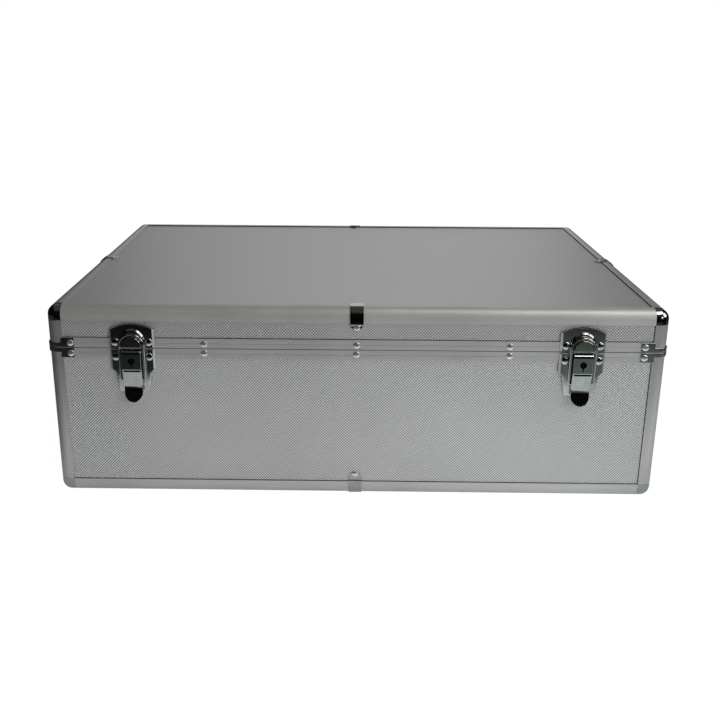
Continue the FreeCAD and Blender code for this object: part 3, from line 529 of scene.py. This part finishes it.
def painted_shadow_lines(name, body, mat, low, foot, head):
    """Painted shadow: near-black strips along the gaps where the boards sit in the profile under them and in the posts
    at the right.
    """
    work = bmesh.new()
    face = 1.2
    for sign in (-1, 1):
        out = DEPTH / 2 - face
        rounded_block(work, (WIDTH / 2 - 14.98, min(sign * out, sign * (out + 0.12)), foot),
                      (WIDTH / 2 - 14.4, max(sign * out, sign * (out + 0.12)), head), 0.04, 1)
        out = DEPTH / 2 - face
        rounded_block(work, (-WIDTH / 2 + 14.6, min(sign * out, sign * (out + 0.12)), low),
                      (WIDTH / 2 - 14.6, max(sign * out, sign * (out + 0.12)), low + 0.55), 0.04, 1)
        out = WIDTH / 2 - face
        rounded_block(work, (min(sign * out, sign * (out + 0.12)), -DEPTH / 2 + 14.6, low),
                      (max(sign * out, sign * (out + 0.12)), DEPTH / 2 - 14.6, low + 0.55), 0.04, 1)
    mesh_object(name, work, mat, body, 30.0)


clip_slopes("lid_clip_slopes", "lid", TOTAL - 15.8, -1)
# Painted shadow lines at the foot of the base and lid boards and beside the right posts
painted_shadow_lines("base_painted_shadow_lines", "base", lock_steel_and_painted_shade, 14.52, 15.2, PARTING - 10.4)
painted_shadow_lines("lid_painted_shadow_lines", "lid", lock_steel_and_painted_shade, PARTING + 10.02, PARTING + 10.8, TOTAL - 14.6)


def top_painted_shade_lines():
    """Painted shade: near-black lines in the inner corner between the top sheet and the profiles at the right and the
    back, and under the top front and back profiles.
    """
    work = bmesh.new()
    level = TOTAL - 1.2
    rounded_block(work, (WIDTH / 2 - 15.0, -DEPTH / 2 + 15.2, level - 0.1), (WIDTH / 2 - 14.4, DEPTH / 2 - 15.2, level + 0.55), 0.04, 1)
    rounded_block(work, (-WIDTH / 2 + 15.2, DEPTH / 2 - 15.0, level - 0.1), (WIDTH / 2 - 15.2, DEPTH / 2 - 14.4, level + 0.75), 0.04, 1)
    for sign in (-1, 1):
        out = sign * (DEPTH / 2 - 1.2)
        rounded_block(work, (-WIDTH / 2 + 14.6, min(out, out + sign * 0.12), TOTAL - 14.75),
                      (WIDTH / 2 - 14.6, max(out, out + sign * 0.12), TOTAL - 14.45), 0.04, 1)
    mesh_object("lid_top_painted_shade_lines", work, lock_steel_and_painted_shade, "lid", 30.0)


# Painted shade lines along the lid's top corners and under its top profiles
top_painted_shade_lines()
keep("base_bottom_panel", flat_sheet)
keep("lid_top_panel", flat_sheet)

# Latches

rivets("strike_rivets", "lid", rivet_chrome)
rivets("latch_rivets", "base", rivet_chrome)
def proud(x, z, out):
    """Point in front of the case, across, above the parting line and outward."""
    return Vector((x, -DEPTH / 2 - out, PARTING + z)) * MM


def relief(work, rings, place):
    """Smooth pad through rings of points across, up and outward; the last ring is filled."""
    loops = [[work.verts.new(place(*point)) for point in ring] for ring in rings]
    for low, high in zip(loops, loops[1:]):
        for index in range(len(low)):
            after = (index + 1) % len(low)
            work.faces.new((low[index], low[after], high[after], high[index]))
    work.faces.new(loops[-1])


def shoulder(radius, top, steps=5):
    """Inset and height along a rounded edge that ends at the top."""
    return [(radius * (1 - math.cos(math.radians(90 * k / steps))), top - radius + radius * math.sin(math.radians(90 * k / steps)))
            for k in range(steps + 1)]


def arched(half, foot, spring, crown, steps=28):
    """Outline with a flat foot, straight sides and an arched top through the crown."""
    rise = crown - spring
    radius = (half ** 2 + rise ** 2) / (2 * rise)
    turn = math.asin(min(1.0, half / radius))
    turn = math.pi - turn if rise > radius else turn
    points = [(-half, foot), (half, foot)]
    for k in range(steps + 1):
        angle = turn - 2 * turn * k / steps
        points.append((radius * math.sin(angle), crown - radius + radius * math.cos(angle)))
    return points


def strike_pad(work, middle):
    """Arched strike with a rounded edge, its mound and the boss for the bail."""
    def place(x, z, out):
        return proud(middle + x, z, out)

    def rings(shape, profile):
        return [[(x, z, out) for x, z in shape(inset)] for inset, out in profile]

    def plate(inset):
        return arched(21.75 - inset, 0.9 + inset * 0.25, 19.8 - inset * 0.1, 25.0 - inset * 0.35)
    relief(work, rings(plate, [(0, 0.0), (0, 0.5), (1.8, 2.5)]), place)

    def mound(inset):
        return arched(12.4 - inset, 0.95 + inset * 0.3, 7.9, 20.3 - inset)
    relief(work, rings(mound, [(0, 2.4), (0.25, 2.62), (0.6, 3.1), (0.95, 3.65), (1.3, 4.05), (1.7, 4.25), (2.1, 4.3)]), place)

    def boss(inset):
        return arched(10.1 - inset, 2.5 + inset, 3.7, 13.8 - inset)
    relief(work, rings(boss, [(0.0, 4.2), (0.15, 4.6), (0.3, 5.2), (0.3, 7.4), (0.0, 8.2)] + shoulder(0.8, 9.5)), place)


def latch_pad(work, middle):
    """Latch plate: upright, then curved back to the board at its narrow foot, with rounded edges."""
    bend = (24.2 ** 2 + 2.3 ** 2) / (2 * 2.3)

    def half_width(down):
        corners = ((0.9, 21.75), (20.5, 21.75), (24.5, 18.0), (44.7, 14.4))
        for (near, wide), (far, narrow) in zip(corners, corners[1:]):
            if down <= far:
                return wide + (narrow - wide) * (down - near) / (far - near)
        return corners[-1][1]

    def front(down):
        fall = max(0.0, down - 20.5)
        return 2.5 - bend + math.sqrt(bend ** 2 - fall ** 2)
    rows = [(0.9, 0.0)] + [(0.9 + inset, lift) for inset, lift in shoulder(0.6, 2.5)]
    rows += [(down, front(down)) for down in (6, 12, 17, 19.5, 20.5, 21.2, 22, 22.8, 23.6, 24.5, 25.5, 27, 29, 31, 33, 35,
                                              37, 39, 41, 43, 44.4)] + [(44.7, 0.0)]
    lines = []
    for down, lift in rows:
        half = half_width(down)
        edge = ((0, 0.0), (0, 0.2), (1.8, 1.0))
        side = [(half - inset, max(lift, 0.01) * share) for inset, share in edge] + [(half * 0.5, lift)]
        line = [(-x, out) for x, out in side] + [(x, out) for x, out in reversed(side)]
        lines.append([work.verts.new(proud(middle + x, -down, out)) for x, out in line])
    for upper, lower in zip(lines, lines[1:]):
        for index in range(len(upper) - 1):
            work.faces.new((upper[index], upper[index + 1], lower[index + 1], lower[index]))


def on_plate(face):
    """Faces of the ears, the catch and the pin, in front of the plate."""
    return face.calc_center_median().y < -(DEPTH / 2 + 2.55) * MM


for node, body, pad in (("latch_strikes", "lid", strike_pad), ("latch_plates", "base", latch_pad)):
    pads = bmesh.new()
    for middle in (-LATCH_X, LATCH_X):
        pad(pads, middle)
    made = mesh_object(node + "_cover", pads, latch_chrome, body, 32.0)
    weigh_normals(made)
    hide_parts(node)
dress("latch_plates", latch_chrome, 0.15, 2, wanted=on_plate)


def lever_edge(middle, first, second):
    """Edges of the lever's front beside its walls and under the lock."""
    off = abs(abs(middle.x) - LATCH_X)
    ahead = max(-first.y, -second.y) > 0.6
    beside = off > 9.3 and max(abs(first.x), abs(second.x)) > 0.9 and middle.z > PARTING - 37.0
    under = abs(middle.z - PARTING + 19.3) < 0.1 and middle.y < -DEPTH / 2 - 9.9
    return ahead and (beside or under)


for hand, middle in (("left", -LATCH_X), ("right", LATCH_X)):
    dress(hand + "_latch_lever", latch_chrome, 0.2, 2, wide=0.5, chosen=lever_edge)
    dress(hand + "_lock_cam", lock_steel_and_painted_shade, 0.15, 2)
    # Painted shadow: a near-black block on the lever's slope, in the opening under the lock housing
    gap = bmesh.new()
    verts = [gap.verts.new(proud(middle + x, z, out)) for x, z, out in
             ((-8.8, -19.85, 9.75), (8.8, -19.85, 9.75), (8.8, -21.9, 8.6), (-8.8, -21.9, 8.6),
              (-8.8, -19.85, 9.2), (8.8, -19.85, 9.2), (8.8, -21.9, 8.2), (-8.8, -21.9, 8.2))]
    for loop in ((0, 1, 2, 3), (4, 5, 6, 7), (0, 1, 5, 4), (2, 3, 7, 6), (0, 3, 7, 4), (1, 2, 6, 5)):
        gap.faces.new([verts[k] for k in loop])
    mesh_object(hand + "_lever_painted_shadow", gap, lock_steel_and_painted_shade, hand + "_lever")


def bail(hand, middle):
    """Wire bail as one round bar."""
    foot = Vector((middle, -DEPTH / 2 - 4.6, PARTING - 31.0))
    crown = Vector((middle, -DEPTH / 2 - 6.3, PARTING + 3.7))
    rise = (crown - foot).normalized()
    length = (crown - foot).length

    def place(u, s):
        return (foot + Vector((u, 0, 0)) + rise * s) * MM
    half = 11.7
    curve = 2.2
    inner = 7.95
    points = [place(-inner, 0)] + arc((-half + curve, curve), curve, 270, 180, 6, place)
    points += arc((0, length), half, 180, 0, 28, place)
    points += arc((half - curve, curve), curve, 0, -90, 6, place) + [place(inner, 0)]
    obj = tube_object(hand + "_bail_wire", points, 1.28 * MM, latch_chrome, hand + "_bail")
    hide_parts(hand + "_latch_bail")


bail("left", -LATCH_X)
bail("right", LATCH_X)

# Inside

WALL = 6.4
LINING = 2.1
RIM = 9.7


def cloth_tray(name, node, body, floor, brim):
    """Cloth lining in five pads, with soft folded edges where they meet."""
    up = 1 if brim > floor else -1
    outer_x = WIDTH / 2 - WALL
    outer_y = DEPTH / 2 - WALL
    gap = 0.25
    work = bmesh.new()
    for low, high in (((-outer_x, -outer_y), (outer_x, outer_y)),):
        levels = sorted((floor, floor + up * LINING))
        rounded_block(work, (low[0] + gap, low[1] + gap, levels[0] + gap), (high[0] - gap, high[1] - gap, levels[1]), 0.8)
    levels = sorted((floor + up * (LINING + 0.1), brim - up * 0.3))
    for sign in (-1, 1):
        inner, outer = sign * (outer_x - LINING), sign * (outer_x - gap)
        rounded_block(work, (min(inner, outer), -outer_y + gap, levels[0]), (max(inner, outer), outer_y - gap, levels[1]), 0.8)
        inner, outer = sign * (outer_y - LINING), sign * (outer_y - gap)
        rounded_block(work, (-outer_x + LINING + 0.1, min(inner, outer), levels[0]),
                      (outer_x - LINING - 0.1, max(inner, outer), levels[1]), 0.8)
    obj = mesh_object(name, work, lining_felt, body, 50.0)
    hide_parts(node)


cloth_tray("base_cloth", "base_lining", "base", WALL, PARTING - 0.3 - RIM)
cloth_tray("lid_cloth", "lid_lining", "lid", TOTAL - WALL, PARTING + 0.3 + RIM)
dress("row_dividers", divider_board, 0.4)
dress("divider_caps", divider_metal, 0.2)
dress("divider_guides", divider_metal, 0.15)

# Handles

HANDLE_Z = 112.0
HANDLE_OUT = 9.5
HANDLE_HALF = 60.0
HANDLE_BEND = 9.0
HANDLE_DROP = 34.0
HANDLE_ROD = 3.5
HANDLE_INNER = 42.7


def handle(hand, sign):
    """Bent steel bar with a ribbed sleeve on its straight part."""
    def place(u, rise):
        return Vector((sign * (WIDTH / 2 + HANDLE_OUT), u, HANDLE_Z + rise)) * MM
    reach = HANDLE_HALF - HANDLE_BEND
    low = HANDLE_BEND - HANDLE_DROP
    points = [place(-HANDLE_INNER, 0)]
    points += arc((-reach, -HANDLE_BEND), HANDLE_BEND, 90, 180, 10, place)
    points += arc((-reach, low), HANDLE_BEND, 180, 270, 10, place)
    points += arc((reach, low), HANDLE_BEND, 270, 360, 10, place)
    points += arc((reach, -HANDLE_BEND), HANDLE_BEND, 0, 90, 10, place) + [place(HANDLE_INNER, 0)]
    bar = tube_object(hand + "_handle_bar", points, (HANDLE_ROD - 0.03) * MM, handle_steel, hand + "_handle",
                      20)
    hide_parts(hand + "_handle")
    half = reach - 1.5
    start = place(-half, -HANDLE_DROP)
    profile = [(HANDLE_ROD, 0), (6.4, 0), (7.1, 0.5), (7.4, 1.4), (7.4, 4.5)]
    ribs = 22
    pitch = (2 * half - 9.0) / ribs
    for index in range(ribs):
        at = 4.5 + pitch * index
        profile += [(6.75, at + pitch * 0.18), (6.75, at + pitch * 0.32), (7.4, at + pitch * 0.5), (7.4, at + pitch)]
    profile += [(7.4, 2 * half - 1.4), (7.1, 2 * half - 0.5), (6.4, 2 * half), (HANDLE_ROD, 2 * half)]
    work = bmesh.new()
    lathe(work, start, (0, 1, 0), profile, 32)
    sleeve = mesh_object(hand + "_grip_sleeve", work, grip_rubber, hand + "_handle", 30.0)
    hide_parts(hand + "_handle_grip")


dress("handle_plates", handle_steel, 0.3)
handle("left", -1)
handle("right", 1)


# Floor, lights and camera

def stage_plane(name, corners, mat):
    mesh = bpy.data.meshes.new(name)
    mesh.from_pydata([Vector(c) for c in corners], [], [(0, 1, 2, 3)])
    obj = link(bpy.data.objects.new(name, mesh))
    assign(obj, mat)
    return obj


def seen_directly(tree):
    path = add(tree, "ShaderNodeLightPath")
    total = math_node(tree, "ADD", path.outputs["Is Camera Ray"], path.outputs["Is Glossy Ray"])
    return math_node(tree, "ADD", total, path.outputs["Is Transmission Ray"], True)


floor_mat = bpy.data.materials.new("pale_floor")
floor_mat.use_nodes = True
floor_tree = floor_mat.node_tree
floor_shader = floor_tree.nodes["Principled BSDF"]
floor_shader.inputs["Base Color"].default_value = (0.86, 0.86, 0.86, 1)
floor_shader.inputs["Roughness"].default_value = 0.9
glow = add(floor_tree, "ShaderNodeEmission")
glow.inputs["Strength"].default_value = 1.1
blend = add(floor_tree, "ShaderNodeMixShader")
share = math_node(floor_tree, "MULTIPLY", seen_directly(floor_tree), 0.88)
floor_tree.links.new(share, blend.inputs[0])
floor_tree.links.new(floor_shader.outputs[0], blend.inputs[1])
floor_tree.links.new(glow.outputs[0], blend.inputs[2])
floor_tree.links.new(blend.outputs[0], floor_tree.nodes["Material Output"].inputs["Surface"])
stage_plane("floor", [(-9, -9, -0.0006), (9, -9, -0.0006), (9, 9, -0.0006), (-9, 9, -0.0006)], floor_mat)

world = bpy.data.worlds.new("studio")
bpy.context.scene.world = world
world.use_nodes = True
tree = world.node_tree
background = tree.nodes["Background"]
background.inputs["Color"].default_value = (1, 1, 1, 1)
level = add(tree, "ShaderNodeMapRange")
level.inputs["To Min"].default_value = 0.44
level.inputs["To Max"].default_value = 1.0
tree.links.new(seen_directly(tree), level.inputs[0])
tree.links.new(level.outputs[0], background.inputs["Strength"])

# Dark studio walls and the end of the white sweep, which only reflections see

def card_material(name, colour, strength=None):
    mat = bpy.data.materials.new(name)
    mat.use_nodes = True
    tree = mat.node_tree
    if strength is None:
        tree.nodes["Principled BSDF"].inputs["Base Color"].default_value = (*colour, 1)
        tree.nodes["Principled BSDF"].inputs["Roughness"].default_value = 0.9
        return mat, tree, None
    tree.nodes.remove(tree.nodes["Principled BSDF"])
    light = add(tree, "ShaderNodeEmission")
    light.inputs["Color"].default_value = (*colour, 1)
    light.inputs["Strength"].default_value = strength
    tree.links.new(light.outputs[0], tree.nodes["Material Output"].inputs["Surface"])
    return mat, tree, light


def card(name, corners, mat, flag=False):
    obj = stage_plane(name, corners, mat)
    obj.visible_camera = False
    obj.visible_diffuse = flag
    obj.visible_shadow = False
    obj.visible_transmission = False
    return obj


def colour_ramp(tree, factor, stops):
    """Ramp through stops of a position and a colour or a level."""
    node = add(tree, "ShaderNodeValToRGB")
    elements = node.color_ramp.elements
    while len(elements) < len(stops):
        elements.new(0.5)
    for element, (position, value) in zip(elements, stops):
        element.position = position
        element.color = (*value, 1) if isinstance(value, tuple) else (value, value, value, 1)
    tree.links.new(factor, node.inputs[0])
    return node.outputs[0]


def metres(tree, axis, low, high):
    """Position along an axis as a share of a range."""
    node = add(tree, "ShaderNodeMapRange")
    node.inputs["From Min"].default_value = low
    node.inputs["From Max"].default_value = high
    tree.links.new(axis, node.inputs[0])
    return node.outputs[0]


def mixed_colours(tree, kind, first, second):
    node = add(tree, "ShaderNodeMix", data_type="RGBA", blend_type=kind)
    node.inputs["Factor"].default_value = 1.0
    tree.links.new(first, node.inputs["A"])
    tree.links.new(second, node.inputs["B"])
    return node.outputs["Result"]


def stops(pairs, low, high):
    return [((at - low) / (high - low), value) for at, value in pairs]


room_dark, tree, light = card_material("room_dark", (0.6, 0.6, 0.62), 0.006)
ceiling_dark, tree, light = card_material("ceiling_dark", (1.0, 0.8, 0.66), 1.0)
coords, axes = object_axes(tree)
ceiling_share = metres(tree, axes[1], -2.2, 2.2)
tree.links.new(colour_ramp(tree, ceiling_share, stops([(-2.2, (0.075, 0.062, 0.052)), (1.3, (0.08, 0.066, 0.056)),
                                                       (2.2, 0.3)], -2.2, 2.2)), light.inputs["Color"])
front_dark, tree, light = card_material("front_dark", (1.0, 1.0, 1.0), 1.0)
coords, axes = object_axes(tree)
rise_share = metres(tree, axes[2], 0.0, 2.6)
tree.links.new(colour_ramp(tree, rise_share, stops([(1.7, 0.004), (2.45, (0.06, 0.05, 0.042))], 0.0, 2.6)), light.inputs["Color"])
backdrop, tree, light = card_material("backdrop", (1.0, 1.0, 1.0), 1.0)
coords, axes = object_axes(tree)
across = metres(tree, axes[0], -1.6, 1.6)
tree.links.new(colour_ramp(tree, across, stops([(-1.05, 0.05), (-0.7, 0.54), (0.1, 0.73), (0.7, 0.76), (0.95, 0.05)], -1.6, 1.6)),
               light.inputs["Color"])
sweep_end, tree, light = card_material("sweep_end", (1.0, 1.0, 1.0), 1.3)
coords, axes = object_axes(tree)
depth_share = metres(tree, axes[1], -1.2, 0.6)
width_share = metres(tree, axes[0], -1.0, 1.0)
# Reflected sweep along the depth: dark beyond its front end, white a little in front of the case, grey next to and
# under the case as a painted shadow of the case, white again behind it
sweep_and_painted_shadow = colour_ramp(tree, depth_share, stops([(-0.58, 0.0), (-0.51, 0.03), (-0.41, 0.64), (-0.36, 0.68), (-0.31, 0.9), (-0.27, 0.62),
                                              (-0.22, 0.42), (0.15, 0.46), (0.3, 0.9)], -1.2, 0.6))
sides = colour_ramp(tree, width_share, stops([(-0.60, 0.0), (-0.44, 0.25), (-0.34, 0.56), (-0.15, 0.64), (0.2, 0.76), (0.32, 0.4), (0.6, 0.6),
                                              (0.85, 0.04)], -1.0, 1.0))
dark_floor = colour_ramp(tree, depth_share, stops([(-0.95, 0.0), (-0.85, 0.12), (-0.70, (0.5, 0.62, 0.56)), (-0.5, (0.8, 1.0, 0.9))],
                                                  -1.2, 0.6))
dark_share = colour_ramp(tree, width_share, stops([(-0.3, 0.03), (0.04, 0.034), (0.25, 0.17), (0.45, 0.19), (0.8, 0.0)], -1.0, 1.0))
lit = mixed_colours(tree, "ADD", mixed_colours(tree, "MULTIPLY", sweep_and_painted_shadow, sides), mixed_colours(tree, "MULTIPLY", dark_floor, dark_share))
tree.links.new(lit, light.inputs["Color"])

card("sweep", [(-2.2, -2.2, -0.0003), (2.2, -2.2, -0.0003), (2.2, 2.2, -0.0003), (-2.2, 2.2, -0.0003)], sweep_end)
card("wall_front", [(-2.2, -2.2, 0.0), (2.2, -2.2, 0.0), (2.2, -2.2, 2.6), (-2.2, -2.2, 2.6)], front_dark)
card("flag_left", [(-1.1, -0.9, 0.0), (-1.1, 0.9, 0.0), (-1.1, 0.9, 0.9), (-1.1, -0.9, 0.9)], room_dark, True)
card("wall_above", [(-2.2, -2.2, 2.6), (2.2, -2.2, 2.6), (2.2, 2.2, 2.6), (-2.2, 2.2, 2.6)], ceiling_dark)
card("wall_left", [(-2.2, -2.2, 0.0), (-2.2, 2.2, 0.0), (-2.2, 2.2, 2.6), (-2.2, -2.2, 2.6)], room_dark)
card("wall_right", [(2.2, -2.2, 0.0), (2.2, 2.2, 0.0), (2.2, 2.2, 2.6), (2.2, -2.2, 2.6)], room_dark)
card("wall_back", [(-2.2, 2.2, 0.0), (2.2, 2.2, 0.0), (2.2, 2.2, 2.6), (-2.2, 2.2, 2.6)], backdrop)

window, tree, light = card_material("window", (1.0, 1.0, 1.0), 2.2)
card("window_right", [(0.72, -1.13, 0.46), (0.96, -0.96, 0.46), (0.93, -0.94, 0.72), (0.69, -1.11, 0.72)], window)


def lamp(name, place, target, size, power, depth=None):
    data = bpy.data.lights.new(name, "AREA")
    data.shape = "RECTANGLE"
    data.size = size
    data.size_y = depth or size
    data.energy = power
    obj = link(bpy.data.objects.new(name, data))
    obj.location = place
    obj.rotation_euler = (Vector(target) - Vector(place)).to_track_quat("-Z", "Y").to_euler()
    return obj


lamp("softbox", (0.68, -0.45, 1.35), (0.35, -0.15, 0.1), 0.85, 4.7, 0.5)
lamp("side_box", (1.45, -0.45, 0.95), (0.1, -0.2, 0.1), 0.8, 5.0)
front_fill = lamp("front_fill", (1.3, -1.75, 0.9), (0.05, 0, 0.1), 1.0, 36.0)
front_fill.visible_glossy = False
bounce = lamp("bounce", (0.15, -0.85, 0.05), (0.05, -0.22, 0.1), 0.7, 3.0)
bounce.visible_glossy = False

YAW = -0.01500530737865335
PITCH_DOWN = 0.32251066739355
ROLL = 0.004534555099290778
FOCAL = 956.2532201278561
ahead = Vector((math.sin(YAW) * math.cos(PITCH_DOWN), math.cos(YAW) * math.cos(PITCH_DOWN), -math.sin(PITCH_DOWN)))
right = Vector((math.cos(YAW), -math.sin(YAW), 0))
up = right.cross(ahead)
right_rolled = right * math.cos(ROLL) + up * math.sin(ROLL)
up_rolled = up * math.cos(ROLL) - right * math.sin(ROLL)
camera_data = bpy.data.cameras.new("camera")
camera = link(bpy.data.objects.new("camera", camera_data))
place = Vector((-8.611993981966874, -1101.0399009461785, 438.56795477918405)) * MM
rotation = Matrix((right_rolled, up_rolled, -ahead)).transposed().to_4x4()
camera.matrix_world = Matrix.Translation(place) @ rotation
camera_data.sensor_width = 36.0
camera_data.sensor_fit = "HORIZONTAL"
camera_data.lens = 36.0 * FOCAL / 720.0
camera_data.shift_x = (360.0 - 334.0001772352046) / 720.0
camera_data.shift_y = (360.0395135150206 - 360.0) / 720.0
camera_data.clip_start = 0.01
camera_data.clip_end = 60.0
bpy.context.scene.camera = camera
bpy.context.scene.view_settings.view_transform = "Standard"
